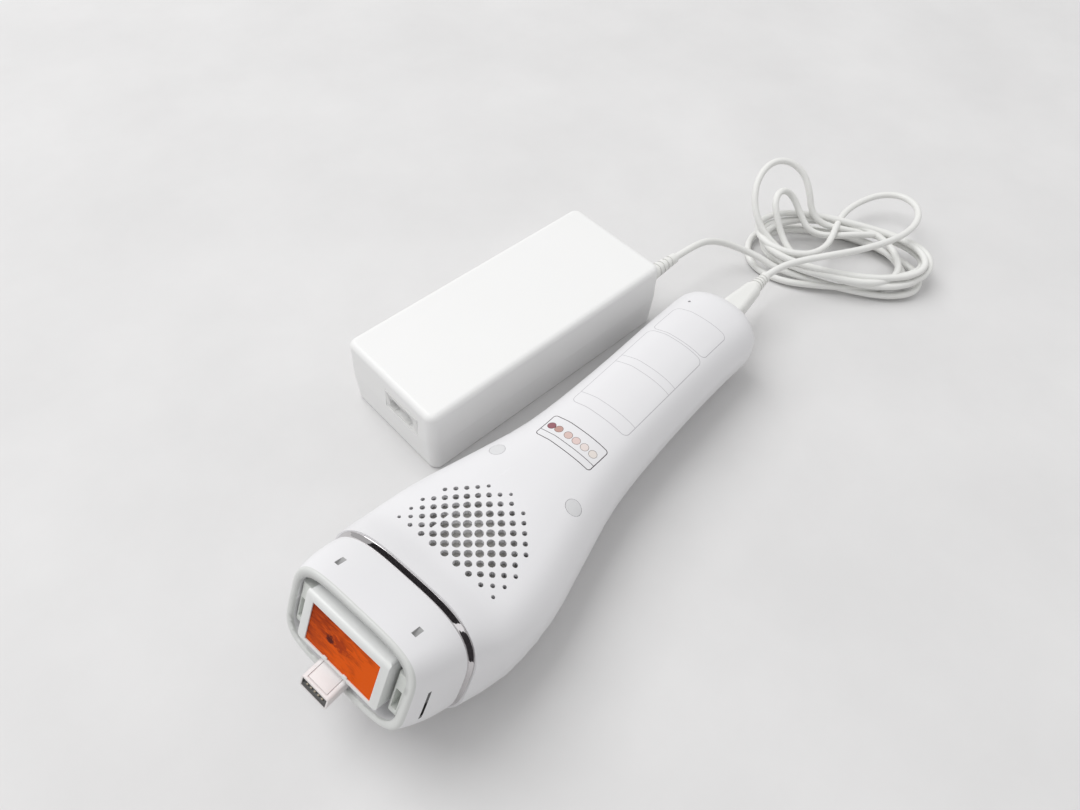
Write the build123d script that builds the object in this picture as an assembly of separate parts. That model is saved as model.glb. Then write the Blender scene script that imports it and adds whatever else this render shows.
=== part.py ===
from build123d import *
import math
import os

os.makedirs("parts", exist_ok=True)

# A wand shaped flash hair remover lying on its button side, with its mains adapter beside it
# and the adapter's low voltage lead lying behind the tail in a loose hank.
# All sizes are millimetres. While the pieces are made, x runs from the nose face to the tail,
# y towards the adapter and z up from the table. At the end everything is moved together so that
# the origin is under the middle of the handset and the adapter.

# Handset casing
casing_wall = 2.2
handset_length = 230.5
nose_height = 45.0
nose_half_width = 28.0
nose_half_height = 18.9
nose_square = 4.2
nose_lean = 24.5
ring_at = 17.8
ring_height = 34.6
ring_half_width = 33.2
ring_half_height = 22.1
ring_square = 3.3
ring_lean = 25.0
ring_band = 2.8
ring_flare = 0.8
casing_step = 0.6
shoulder_at = 37.0
shoulder_half_width = 38.4
shoulder_half_height = 22.2
shoulder_height = 25.4
swell_at = 60.0
swell_half_width = 37.5
swell_half_height = 22.0
neck_at = 85.0
neck_half_width = 31.8
neck_half_height = 21.4
waist_at = 115.0
waist_half_width = 25.1
waist_half_height = 19.6
grip_at = 155.0
grip_half_width = 22.2
grip_half_height = 19.4
heel_at = 195.0
heel_half_width = 21.7
heel_half_height = 19.0
tail_half_width = 22.0
tail_half_height = 18.5
swell_lift = 0.3
waist_lift = 1.8
heel_lift = 1.9
tail_lift = 0.2
tail_round = 12.0
tail_inset = 0.42
handle_square = 2.3
outline_points = 16
head_points = 32
band_length = 9.0

# Nose recess, window and terminal tongue
rim_width = 2.6
rim_round = 1.2
recess_depth = 8.0
recess_floor = 2.0
glass_width = 31.4
glass_height = 17.6
glass_thickness = 2.0
frame_proud = 2.0
frame_side_border = 3.4
frame_top_border = 3.4
frame_bottom_border = 1.4
frame_draft = 0.9
glass_lip = 0.5
glass_rebate = 0.8
seat_gap = 0.1
tongue_width = 13.0
tongue_thickness = 4.2
tongue_reach = 15.5
tongue_side = 1.5
tongue_top = 34.9
tongue_tail_top = 33.3
tongue_step_at = -0.6
contact_count = 5
contact_pitch = 1.8
mouth_width = 10.4
mouth_height = 2.2
mouth_depth = 4.0
slot_at = 14.3
slot_length = 3.4
slot_width = 1.9
slot_side = 17.8
slot_floor = 58.2
side_slit_height = 6.8
side_slit_width = 1.0
side_slit_depth = 6.6

# Cooling vents and fan
vent_pitch = 5.7
vent_start = 44.5
vent_length = 34.5
vent_half_width = 24.5
vent_middle = 12.0
vent_spread = 22.0
vent_hole_big = 3.4
vent_hole_small = 1.4
tail_pinhole_at = 214.0
tail_pinhole_side = 11.5
tail_pinhole_radius = 0.7
fan_at = 62.0
fan_size = 36.0
fan_thickness = 8.0
fan_base = 28.5
fan_bore = 16.6
fan_blade_gap = 0.8
fan_hub_radius = 7.5
fan_blades = 7
fan_shaft_radius = 1.0
shaft_gap = 0.05

# Buttons on the side that faces the table
flash_button_at = 112.0
flash_button_length = 20.0
flash_button_width = 12.0
power_button_at = 141.0
power_button_radius = 4.6
button_gap = 0.3
button_proud = 0.5
button_flange = 1.4
button_flange_thickness = 1.2
button_travel = 1.0
button_board_height = 10.4
button_board_thickness = 1.2
spring_radius = 3.4
spring_wire = 0.5
light_count = 5
light_at = 157.0
light_pitch = 4.0
light_radius = 1.1

# Electronics in the handle
board_height = 12.4
board_thickness = 1.6
board_start = 104.0
board_half_width = 13.5
capacitor_radius = 8.0
capacitor_length = 42.0
jack_size = 11.0
jack_length = 14.0
jack_bore_radius = 3.1
jack_bore_depth = 11.0
jack_pin_radius = 1.0
bezel_radius = 8.4
plug_collar_radius = 6.0
plug_gap = 0.35
screw_at = 92.0
screw_side = 19.2
screw_radius = 1.4
screw_length = 22.0
screw_head_radius = 2.6
screw_head_thickness = 1.8
cap_radius = 3.1
cap_thickness = 1.1
cap_gap = 0.12
boss_radius = 3.6

# Mains adapter
adapter_length = 141.0
adapter_width = 60.0
adapter_height = 36.3
adapter_parting = 17.6
adapter_corner = 5.0
adapter_edge = 3.0
adapter_wall = 2.2
adapter_draft = 2.4
adapter_corner_x = 84.1
adapter_corner_y = 48.5
adapter_turn = -6.2
inlet_side = 21.0
inlet_height = 23.0
inlet_bezel_width = 22.0
inlet_bezel_height = 10.6
inlet_depth = 9.5
inlet_lobe_radius = 3.75
inlet_pin_spacing = 8.6
inlet_pin_radius = 1.2
inlet_pin_length = 8.0
outlet_side = 6.9
outlet_height = 26.6

# Lead
cord_radius = 1.75
hank_at = (323.0, -13.0)
hank_half_length = 51.0
hank_half_width = 28.0
hank_turn = -61.0
hank_height = 16.0
plug_length = 26.0
relief_length = 13.0
adapter_relief_length = 18.0
relief_start_radius = 3.9
relief_end_radius = 2.5
relief_grooves = 4
relief_lip = 0.2
barrel_radius = 2.75
barrel_bore_radius = 1.3
barrel_reach = 10.5


def leaning_plane(x, z, lean):
    """Plane across the handset, facing the tail, whose top leans back by the given angle."""
    angle = math.radians(lean)
    return Plane(origin=(x, 0, z), x_dir=(0, 1, 0), z_dir=(math.cos(angle), 0, -math.sin(angle)))


def superellipse(half_width, half_height, square, count):
    """Points round a superellipse: square 2 is an ellipse, more is boxier."""
    points = []
    for step in range(count + 1):
        angle = 2 * math.pi * step / count
        across = abs(math.cos(angle) / half_width) ** square
        upward = abs(math.sin(angle) / half_height) ** square
        reach = (across + upward) ** (-1 / square)
        points.append((reach * math.cos(angle), reach * math.sin(angle)))
    return points


def head_section(x, z, half_width, half_height, lean, square):
    """Face of a superellipse on a leaning plane, with one closed edge."""
    points = superellipse(half_width, half_height, square, head_points)[:-1]
    even_steps = [step / head_points for step in range(head_points + 1)]
    outline = Edge.make_spline(points, periodic=True, parameters=even_steps)
    return leaning_plane(x, z, lean) * Face(Wire([outline]))


def body_section(x, z, half_width, half_height, lean, square):
    """Face of a superellipse on a leaning plane, with an edge for each quarter."""
    points = superellipse(half_width, half_height, square, outline_points)
    quarter = outline_points // 4
    even_steps = [step / quarter for step in range(quarter + 1)]
    headings = [(0, 1), (-1, 0), (0, -1), (1, 0), (0, 1)]
    edges = []
    for part in range(4):
        run = points[part * quarter:(part + 1) * quarter + 1]
        edges.append(Edge.make_spline(run, tangents=headings[part:part + 2], parameters=even_steps))
    return leaning_plane(x, z, lean) * Face(Wire(edges))


def behind(x, z, lean, distance):
    """Point reached from (x, z) by going a distance square to the leaning plane."""
    angle = math.radians(lean)
    return x + distance * math.cos(angle), z - distance * math.sin(angle)


# ---------------------------------------------------------------- casing forms
nose_frame = leaning_plane(0, nose_height, nose_lean)
casing_front = behind(ring_at, ring_height, ring_lean, ring_band)
casing_half_width = ring_half_width + ring_flare + casing_step
casing_half_height = ring_half_height + ring_flare + casing_step


def tail_section(inset, turn):
    """Section of the rounded tail, from full size at turn 0 to the end face at turn 90."""
    angle = math.radians(turn)
    x = handset_length - inset - tail_round * (1 - math.sin(angle))
    scale = 1 - tail_inset * (1 - math.cos(angle))
    width = (tail_half_width - inset) * scale
    height = (tail_half_height - inset) * scale
    return body_section(x, tail_half_height + tail_lift, width, height, 0, handle_square)


def casing_stations():
    """Named sections of the handset body: x, z, half width, half height, lean and squareness."""
    front_x, front_z = casing_front
    return [
        (front_x, front_z, casing_half_width, casing_half_height, ring_lean, ring_square),
        (shoulder_at, shoulder_height, shoulder_half_width, shoulder_half_height, 17, 2.9),
        (swell_at, swell_half_height + swell_lift, swell_half_width, swell_half_height, 7, 2.6),
        (neck_at, neck_half_height + swell_lift, neck_half_width, neck_half_height, 2, 2.4),
        (waist_at, waist_half_height + waist_lift, waist_half_width, waist_half_height, 0, handle_square),
        (grip_at, grip_half_height + waist_lift, grip_half_width, grip_half_height, 0, handle_square),
        (heel_at, heel_half_height + heel_lift, heel_half_width, heel_half_height, 0, handle_square),
        (handset_length - tail_round, tail_half_height + tail_lift, tail_half_width, tail_half_height, 0,
         handle_square),
    ]


def smooth_between(stations, span, share):
    """Section a share of the way along one span, on a cubic through all the stations."""
    before, after = stations[span], stations[span + 1]
    first, last = stations[max(span - 1, 0)], stations[min(span + 2, len(stations) - 1)]
    width = after[0] - before[0]
    section = []
    for value in range(1, len(before)):
        slope_before = (after[value] - first[value]) / (after[0] - first[0])
        slope_after = (last[value] - before[value]) / (last[0] - before[0])
        curve = (2 * share ** 3 - 3 * share ** 2 + 1) * before[value]
        curve += (share ** 3 - 2 * share ** 2 + share) * width * slope_before
        curve += (3 * share ** 2 - 2 * share ** 3) * after[value]
        curve += (share ** 3 - share ** 2) * width * slope_after
        section.append(curve)
    return [before[0] + share * width] + section


def casing_form(inset):
    """Solid of the handset body in short bands, with its tail rounded off, inset by a wall."""
    stations = casing_stations()
    sections = []
    for span in range(len(stations) - 1):
        bands = max(2, round((stations[span + 1][0] - stations[span][0]) / band_length))
        for band in range(bands):
            x, z, width, height, lean, square = smooth_between(stations, span, band / bands)
            sections.append(body_section(x, z, width - inset, height - inset, lean, square))
    for turn in (0, 18, 36, 54, 72, 90):
        sections.append(tail_section(inset, turn))
    return loft(sections, ruled=True)


casing_outer = casing_form(0)
casing_inner = casing_form(casing_wall)
casing_skin = casing_outer - casing_form(cap_thickness)


def nose_sections(inset):
    """Sections of the head in front of the chrome ring, all inset by a wall."""
    middle_x = ring_at / 2
    middle_z = (nose_height + ring_height) / 2
    middle_w = (nose_half_width + ring_half_width) / 2 + 0.8
    middle_h = (nose_half_height + ring_half_height) / 2 + 0.6
    middle_square = (nose_square + ring_square) / 2
    middle_lean = (nose_lean + ring_lean) / 2
    return [
        head_section(0, nose_height, nose_half_width - inset, nose_half_height - inset,
                     nose_lean, nose_square),
        head_section(middle_x, middle_z, middle_w - inset, middle_h - inset,
                     middle_lean, middle_square),
        head_section(ring_at, ring_height, ring_half_width - inset, ring_half_height - inset,
                     ring_lean, ring_square),
    ]


def cylinder_up(x, y, low, high, radius):
    """Upright cylinder between two heights."""
    return Pos(x, y, (low + high) / 2) * Cylinder(radius, high - low)


def cylinder_back(x, z, length, radius):
    """Cylinder on the handset's middle plane, running from x towards the tail."""
    return Pos(x + length / 2, 0, z) * Rot(0, 90, 0) * Cylinder(radius, length)


def block(x_low, x_high, y_low, y_high, z_low, z_high):
    """Box given by its faces."""
    centre = Pos((x_low + x_high) / 2, (y_low + y_high) / 2, (z_low + z_high) / 2)
    return centre * Box(x_high - x_low, y_high - y_low, z_high - z_low)


def in_nose(across, up, inward):
    """Place in the nose's own frame: across the head, up its face, and inward from the face."""
    return nose_frame * Pos(across, up, inward)


# ---------------------------------------------------------------- head
window_half_width = glass_width / 2 + frame_side_border
window_top = glass_height / 2 + frame_top_border
window_bottom = glass_height / 2 + frame_bottom_border
window_middle = (window_top - window_bottom) / 2
window_rise = window_top + window_bottom
floor_depth = recess_depth + recess_floor
glass_pocket_width = glass_width + 2 * glass_rebate
glass_pocket_height = glass_height + 2 * glass_rebate
glass_front = glass_lip - frame_proud
glass_back = glass_front + glass_thickness
tongue_root = behind(0, nose_height, nose_lean, floor_depth)[0] + 3
tongue_middle = tongue_top - tongue_thickness / 2

nose_outer = loft(nose_sections(0))
nose_rim = nose_outer.faces().sort_by(Axis.X)[0]
nose_body = fillet(nose_rim.edges(), rim_round)
rim_inner = head_section(0, nose_height, nose_half_width - rim_width, nose_half_height - rim_width,
                         nose_lean, nose_square)
recess = extrude(rim_inner, recess_depth, dir=nose_frame.z_dir)
behind_floor = in_nose(0, 0, floor_depth + 20) * Box(90, 70, 40)
nose_cavity = loft(nose_sections(casing_wall)) & behind_floor
light_hole = in_nose(0, 0, recess_depth) * Box(glass_pocket_width + 0.8, glass_pocket_height + 0.8, 12)
tongue_hole = block(-14, tongue_root, tongue_side - tongue_width / 2 - seat_gap,
                    tongue_side + tongue_width / 2 + seat_gap,
                    tongue_top - tongue_thickness - seat_gap, tongue_top + seat_gap)
nose_shell = nose_body - recess - nose_cavity - light_hole - tongue_hole
for side in (-1, 1):
    latch_slot = block(slot_at, slot_at + slot_length, side * slot_side - slot_width / 2,
                       side * slot_side + slot_width / 2, slot_floor, slot_floor + 6)
    slit_place = in_nose(side * nose_half_width, -4, side_slit_depth)
    side_slit = slit_place * Box(12, side_slit_height, side_slit_width)
    nose_shell = nose_shell - latch_slot - side_slit

# Two latches in the side pockets catch the hooks of a clip-on head.
pocket_latches = Part()
for side in (-1, 1):
    latch_across = side * (nose_half_width - rim_width - 1.2)
    latch = in_nose(latch_across, 2.5, recess_depth - 1.6) * Box(1.6, 7, 3.2)
    catch = in_nose(latch_across - side * 1.0, 2.5, recess_depth - 3.0) * Box(1.6, 5, 1.2)
    pocket_latches += latch + catch

front_outline = Pos(0, window_middle, -frame_proud) * RectangleRounded(
    2 * window_half_width, window_rise, 1.5)
base_outline = Pos(0, window_middle, recess_depth) * RectangleRounded(
    2 * (window_half_width + frame_draft), window_rise + 2 * frame_draft, 2.2)
frame_block = nose_frame * loft([front_outline, base_outline], ruled=True)
aperture = in_nose(0, 0, 0) * Box(glass_width, glass_height, 60)
glass_pocket = in_nose(0, 0, glass_front + 20) * Box(
    glass_pocket_width + 2 * seat_gap, glass_pocket_height + 2 * seat_gap, 40)
tongue_notch = block(-20, tongue_root, tongue_side - tongue_width / 2 - seat_gap,
                     tongue_side + tongue_width / 2 + seat_gap, 20, tongue_top + seat_gap)
window_frame = frame_block - aperture - glass_pocket - tongue_notch
filter_glass = in_nose(0, 0, (glass_front + glass_back) / 2) * Box(
    glass_pocket_width, glass_pocket_height, glass_thickness)

reflector_width = glass_pocket_width - 0.2
reflector_reach = 17.0
reflector_wall = 0.8
lamp_radius = 2.2
lamp_depth = 12.5
lamp_length = reflector_width + 9
trough_outline = Ellipse(reflector_reach, glass_pocket_height / 2 - 0.1)
trough_hollow = Ellipse(reflector_reach - reflector_wall, glass_pocket_height / 2 - 0.1 - reflector_wall)
lengthwise = Plane(origin=(0, 0, 0), x_dir=(0, 0, 1), z_dir=(-1, 0, 0))
trough = lengthwise * extrude(trough_outline, reflector_width / 2, both=True)
trough_inside = lengthwise * extrude(trough_hollow, reflector_width / 2 - reflector_wall, both=True)
trough = (trough - trough_inside) & (Pos(0, 0, 20) * Box(80, 60, 40))
lamp_openings = Pos(0, 0, lamp_depth - glass_back) * Rot(0, 90, 0) * Cylinder(lamp_radius + 0.4, 80)
reflector = in_nose(0, 0, glass_back) * (trough - lamp_openings)
lamp_axis = in_nose(0, 0, lamp_depth) * Rot(0, 90, 0)
flash_lamp = lamp_axis * Cylinder(lamp_radius, lamp_length)
lamp_holders = Part()
lamp_electrodes = Part()
holder_back = lamp_depth + 4
for side in (-1, 1):
    holder_at = side * (reflector_width / 2 + 2.6)
    holder = in_nose(holder_at, 0, (floor_depth + holder_back) / 2) * Box(4, 12, holder_back - floor_depth)
    lamp_holders += holder - lamp_axis * Cylinder(lamp_radius + 0.02, 80)
    lamp_electrodes += lamp_axis * Pos(0, 0, side * (lamp_length / 2 + 1.5)) * Cylinder(0.9, 3)

tongue = block(-tongue_reach, tongue_root, tongue_side - tongue_width / 2, tongue_side + tongue_width / 2,
               tongue_top - tongue_thickness, tongue_top)
tongue = fillet(tongue.edges().filter_by(Axis.X), 0.8)
tongue_panel = block(-tongue_reach + 2, -tongue_reach + 10, tongue_side - 4.6, tongue_side + 4.6,
                     tongue_top - 0.3, tongue_top + 1)
tongue_mouth = block(-tongue_reach - 1, -tongue_reach + mouth_depth, tongue_side - mouth_width / 2,
                     tongue_side + mouth_width / 2, tongue_middle - mouth_height / 2,
                     tongue_middle + mouth_height / 2)
tongue_step = block(tongue_step_at, tongue_root + 1, tongue_side - tongue_width, tongue_side + tongue_width,
                    tongue_tail_top, tongue_top + 1)
terminal_tongue = tongue - tongue_panel - tongue_mouth - tongue_step
terminal_contacts = Part()
for contact in range(contact_count):
    contact_y = tongue_side + (contact - (contact_count - 1) / 2) * contact_pitch
    terminal_contacts += block(-tongue_reach + 0.4, -tongue_reach + mouth_depth,
                               contact_y - 0.45, contact_y + 0.45,
                               tongue_middle - mouth_height / 2, tongue_middle - mouth_height / 2 + 0.7)
tongue_board = block(tongue_root, tongue_root + 1.6, tongue_side - 9, tongue_side + 9, 26.5, tongue_tail_top)

ring_back_x, ring_back_z = casing_front


def ring_form(inset):
    """Band between the head and the casing, inset by a wall."""
    return loft([
        head_section(ring_at, ring_height, ring_half_width - inset, ring_half_height - inset,
                     ring_lean, ring_square),
        head_section(ring_back_x, ring_back_z, ring_half_width + ring_flare - inset,
                     ring_half_height + ring_flare - inset, ring_lean, ring_square),
    ])


chrome_ring = ring_form(0) - ring_form(1.8)

# ---------------------------------------------------------------- casing halves
parting_line = Spline((240, 0, 19.5), (150, 0, 20.5), (90, 0, 21.5), (50, 0, 24.5),
                      (22, 0, 32.5), (5, 0, 38.5))
parting_outline = Wire([parting_line, Line((5, 0, 38.5), (5, 0, 90)), Line((5, 0, 90), (240, 0, 90)),
                        Line((240, 0, 90), (240, 0, 19.5))])
upper_region = extrude(Face(parting_outline), 60, both=True)

screw_seat = 33.0
boss_top = 29.0
back_boss_radius = screw_head_radius + 2
rib_width = 2.0
board_rest = board_height
switch_rest = button_board_height
duct_base = 21.0
button_board_half_width = 8.0


def rib(x, y_low, y_high, top):
    """Cross rib reaching down into the front cover's wall."""
    return block(x - rib_width / 2, x + rib_width / 2, y_low, y_high, -5, top)


# Ribs in the front cover carry the duct and the boards.
front_ribs = [rib(fan_at - 10, -14, 14, duct_base), rib(fan_at + 12, -14, 14, duct_base)]
for rib_at in (127.5, 150.5):
    front_ribs.append(rib(rib_at, -button_board_half_width, button_board_half_width, switch_rest))
for rib_at in (127.5, 171.0, 205.0):
    for side in (-1, 1):
        y_inner = side * (button_board_half_width + 1)
        y_outer = side * board_half_width
        front_ribs.append(rib(rib_at, min(y_inner, y_outer), max(y_inner, y_outer), board_rest))
front_bosses = [cylinder_up(screw_at, side * screw_side, -5, boss_top, boss_radius) for side in (-1, 1)]
back_bosses = [cylinder_up(screw_at, side * screw_side, boss_top, 60, back_boss_radius) for side in (-1, 1)]
boss_tips = [cylinder_up(screw_at, side * screw_side, 12, boss_top, boss_radius) for side in (-1, 1)]
jack_height = board_height + board_thickness + jack_size / 2
tail_hole = cylinder_back(handset_length - 10, jack_height, 20, bezel_radius - 1 + seat_gap)
back_cavity = casing_inner - back_bosses
front_cavity = casing_inner - front_ribs - front_bosses
back_cover = (casing_outer - back_cavity) & upper_region
front_cover = (casing_outer - front_cavity) - upper_region
back_cover = back_cover - tail_hole
front_cover = front_cover - tail_hole
front_cover = front_cover + boss_tips

screw_caps = Part()
case_screws = Part()
for side in (-1, 1):
    y = side * screw_side
    back_cover = back_cover - cylinder_up(screw_at, y, screw_seat, 60, cap_radius + cap_gap)
    back_cover = back_cover - cylinder_up(screw_at, y, boss_top - 1, screw_seat, screw_radius + 0.2)
    front_cover = front_cover - cylinder_up(screw_at, y, screw_seat - screw_length - 1, boss_top + 1,
                                            screw_radius)
    screw_caps += cylinder_up(screw_at, y, 30, 60, cap_radius) & casing_skin
    shank = cylinder_up(screw_at, y, screw_seat - screw_length, screw_seat, screw_radius)
    head = cylinder_up(screw_at, y, screw_seat, screw_seat + screw_head_thickness, screw_head_radius)
    drive = cylinder_up(screw_at, y, screw_seat + 0.8, screw_seat + 3, 1.0)
    case_screws += shank + head - drive

vent_holes = []
vent_rows = int(2 * vent_length / vent_pitch) + 1
for row in range(vent_rows):
    along = row * vent_pitch / 2
    for column in range(-5, 6):
        y = (column + (row % 2) / 2) * vent_pitch
        reach = math.hypot(along / vent_length, y / vent_half_width)
        if reach > 1.0:
            continue
        middle_reach = math.hypot((along - vent_middle) / vent_spread, y / vent_half_width)
        size = vent_hole_big - (vent_hole_big - vent_hole_small) * min(1, middle_reach) ** 2
        vent_holes.append(cylinder_up(vent_start + along, y, 34, 60, size / 2))
vent_holes.append(cylinder_up(tail_pinhole_at, tail_pinhole_side, 25, 50, tail_pinhole_radius))
back_cover = back_cover - vent_holes

# ---------------------------------------------------------------- cooling
fan_top = fan_base + fan_thickness
duct_wall = 1.4
duct_outer = block(fan_at - fan_size / 2, fan_at + fan_size / 2, -fan_size / 2, fan_size / 2,
                   duct_base, fan_base)
duct_inside = block(fan_at - fan_size / 2 - 1, fan_at + fan_size / 2 - duct_wall, -fan_size / 2 + duct_wall,
                    fan_size / 2 - duct_wall, duct_base + duct_wall, fan_base + 1)
air_duct = duct_outer - duct_inside
fan_body = block(fan_at - fan_size / 2, fan_at + fan_size / 2, -fan_size / 2, fan_size / 2, fan_base, fan_top)
fan_body = fillet(fan_body.edges().filter_by(Axis.Z), 3)
fan_frame = fan_body - cylinder_up(fan_at, 0, fan_base - 1, fan_top + 1, fan_bore)
hub_plate_thickness = 1.2
for arm in range(3):
    spoke = Rot(0, 0, 120 * arm + 15) * block(0, fan_bore + 0.5, -1, 1, 0, hub_plate_thickness)
    fan_frame = fan_frame + Pos(fan_at, 0, fan_base) * spoke
fan_frame = fan_frame + cylinder_up(fan_at, 0, fan_base, fan_base + hub_plate_thickness, fan_hub_radius)
fan_frame = fan_frame + cylinder_up(fan_at, 0, fan_base, fan_base + 5.5, 2.6)
fan_frame = fan_frame - cylinder_up(fan_at, 0, fan_base - 1, fan_top, fan_shaft_radius + shaft_gap)
rotor_base = fan_base + hub_plate_thickness + 0.4
rotor_top = fan_top - 0.4
rotor_crown = 1.2
fan_rotor = cylinder_up(fan_at, 0, rotor_base, rotor_top, fan_hub_radius)
fan_rotor = fan_rotor - cylinder_up(fan_at, 0, rotor_base - 1, rotor_top - rotor_crown, fan_hub_radius - 1)
fan_rotor = fan_rotor + cylinder_up(fan_at, 0, fan_base + 0.2, rotor_top, fan_shaft_radius)
blade_height = 4.2
for blade in range(fan_blades):
    turn = 360 * blade / fan_blades
    blade_middle = (fan_hub_radius + fan_bore - fan_blade_gap) / 2
    blade_span = fan_bore - fan_blade_gap - fan_hub_radius + 0.6
    vane = Rot(0, 0, turn) * Pos(blade_middle - 0.3, 0, (rotor_base + rotor_top) / 2) * Rot(38, 0, 0)
    fan_rotor = fan_rotor + Pos(fan_at, 0, 0) * vane * Box(blade_span, 0.9, blade_height + 1)

# ---------------------------------------------------------------- electronics
board_end = handset_length - 12
board_top = board_height + board_thickness
main_board = block(board_start, board_end, -board_half_width, board_half_width, board_height, board_top)
capacitor_start = 122.0
capacitor_middle = board_top + capacitor_radius
flash_capacitor = cylinder_back(capacitor_start, capacitor_middle, capacitor_length, capacitor_radius)
flash_capacitor = fillet(flash_capacitor.edges(), 1.0)
transformer_core = block(170, 186, -9, 9, board_top, board_top + 13)
transformer_window = block(173, 183, -10, 10, board_top + 3, board_top + 10)
transformer_coil = block(171.5, 184.5, -6, 6, board_top + 1, board_top + 15)
charge_transformer = transformer_core - transformer_window + transformer_coil
board_chips = Part()
for x, y, length, width, height in ((112, -6, 7, 7, 1.2), (112, 5, 9, 6, 1.6), (193, -6, 8, 10, 2.4),
                                    (193, 6, 6, 6, 6.0), (203, 7, 6, 6, 8.0)):
    board_chips += block(x - length / 2, x + length / 2, y - width / 2, y + width / 2,
                         board_top, board_top + height)
jack_end = handset_length - casing_wall - 1.8
jack_start = jack_end - jack_length
dc_jack = block(jack_start, jack_end, -jack_size / 2, jack_size / 2, board_top, board_top + jack_size)
dc_jack = dc_jack - cylinder_back(jack_end - jack_bore_depth, jack_height, jack_bore_depth + 1,
                                  jack_bore_radius)
jack_pin = cylinder_back(jack_end - jack_bore_depth, jack_height, jack_bore_depth - 2, jack_pin_radius)
bezel_face = handset_length + 0.8
jack_bezel = cylinder_back(jack_end, jack_height, bezel_face - jack_end, bezel_radius - 1)
jack_bezel = jack_bezel + cylinder_back(handset_length, jack_height, bezel_face - handset_length,
                                        bezel_radius)
jack_bezel = jack_bezel - cylinder_back(jack_end - 1, jack_height, 10, plug_collar_radius + plug_gap)

lead_radius = 0.8
lead_end = board_start - 0.3
lead_height = board_top - lead_radius
lamp_leads = Part()
for side in (-1, 1):
    electrode_tip = (lamp_axis * Pos(0, 0, lamp_length / 2 + 3.3)).position
    lead_route = FilletPolyline(
        (electrode_tip.X, side * abs(electrode_tip.Y), electrode_tip.Z),
        (electrode_tip.X, side * (abs(electrode_tip.Y) + 3), electrode_tip.Z),
        (electrode_tip.X + 6, side * (abs(electrode_tip.Y) + 3.6), electrode_tip.Z - 6),
        (40, side * 28, 26), (70, side * 25, 19), (85, side * 12, lead_height + 2),
        (96, side * 9, lead_height), (lead_end, side * 9, lead_height), radius=1.6)
    lead_start = Plane(origin=lead_route @ 0, z_dir=lead_route % 0)
    lamp_leads += sweep(lead_start * Circle(lead_radius), path=lead_route)

# ---------------------------------------------------------------- buttons
flash_button_hole = Pos(flash_button_at, 0, 0) * extrude(
    RectangleRounded(flash_button_length + 2 * button_gap, flash_button_width + 2 * button_gap, 6.1), 12)
power_button_hole = cylinder_up(power_button_at, 0, -2, 12, power_button_radius + button_gap)
front_cover = front_cover - (Pos(0, 0, -2) * flash_button_hole) - power_button_hole
button_floor = waist_lift + casing_wall + 0.6
flange_low = button_floor + 0.3
flange_high = flange_low + button_flange_thickness
board_low = button_board_height
switch_low = board_low - 2.2
pip_top = switch_low - button_travel - 0.1
flash_face = 1.0
power_face = waist_lift - button_proud
flash_cap = extrude(Pos(flash_button_at, 0, flash_face) * RectangleRounded(
    flash_button_length, flash_button_width, 5.9), flange_low - flash_face)
flash_cap = fillet(flash_cap.faces().sort_by(Axis.Z)[0].edges(), 0.6)
flash_flange = extrude(Pos(flash_button_at, 0, flange_low) * RectangleRounded(
    flash_button_length + 2 * button_flange, flash_button_width + 2 * button_flange, 6.5),
    button_flange_thickness)
flash_button = flash_cap + flash_flange + cylinder_up(flash_button_at, 0, flange_low, pip_top, 1.6)
power_cap = fillet(cylinder_up(power_button_at, 0, power_face, flange_low, power_button_radius).faces()
                   .sort_by(Axis.Z)[0].edges(), 0.5)
power_button = power_cap + cylinder_up(power_button_at, 0, flange_low, flange_high,
                                       power_button_radius + button_flange)
power_button = power_button + cylinder_up(power_button_at, 0, flange_low, pip_top, 1.6)
button_board = block(100, 152, -button_board_half_width, button_board_half_width, board_low,
                     board_low + button_board_thickness)
button_switches = Part()
for x in (flash_button_at, power_button_at):
    button_switches += block(x - 2.1, x + 2.1, -2.1, 2.1, switch_low + 0.9, board_low)
    button_switches += cylinder_up(x, 0, switch_low, switch_low + 0.9, 1.4)


def return_spring(x):
    """Coil spring between a button's flange and the switch board."""
    free_length = board_low - flange_high
    turns = 4
    coil_height = free_length - spring_wire
    helix = Helix(pitch=coil_height / turns, height=coil_height, radius=spring_radius)
    start = Plane(origin=helix @ 0, z_dir=helix % 0)
    coil = sweep(start * Circle(spring_wire / 2), path=helix, is_frenet=True)
    return Pos(x, 0, flange_high + spring_wire / 2) * coil


flash_button_spring = return_spring(flash_button_at)
power_button_spring = return_spring(power_button_at)
level_lights = Part()
for light in range(light_count):
    y = (light - (light_count - 1) / 2) * light_pitch
    lens = cylinder_up(light_at, y, -2, 7, light_radius) & casing_outer
    front_cover = front_cover - cylinder_up(light_at, y, -2, 9, light_radius)
    level_lights += lens

# ---------------------------------------------------------------- mains adapter
adapter_place = Location((adapter_corner_x, adapter_corner_y, 0), (0, 0, adapter_turn))
adapter_face = Pos(adapter_length / 2, adapter_width / 2, adapter_parting) * RectangleRounded(
    adapter_length, adapter_width, adapter_corner)
inner_face = Pos(adapter_length / 2, adapter_width / 2, adapter_parting) * RectangleRounded(
    adapter_length - 2 * adapter_wall, adapter_width - 2 * adapter_wall, adapter_corner - adapter_wall)
top_rise = adapter_height - adapter_parting
top_block = extrude(adapter_face, top_rise, taper=adapter_draft)
top_block = fillet(top_block.faces().sort_by(Axis.Z)[-1].edges(), adapter_edge)
bottom_block = extrude(adapter_face, -adapter_parting, taper=adapter_draft)
bottom_block = fillet(bottom_block.faces().sort_by(Axis.Z)[0].edges(), adapter_edge / 2)
top_case = top_block - extrude(inner_face, top_rise - adapter_wall, taper=adapter_draft)
bottom_case = bottom_block - extrude(inner_face, -(adapter_parting - adapter_wall), taper=adapter_draft)
adapter_board_height = 7.0
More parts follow.
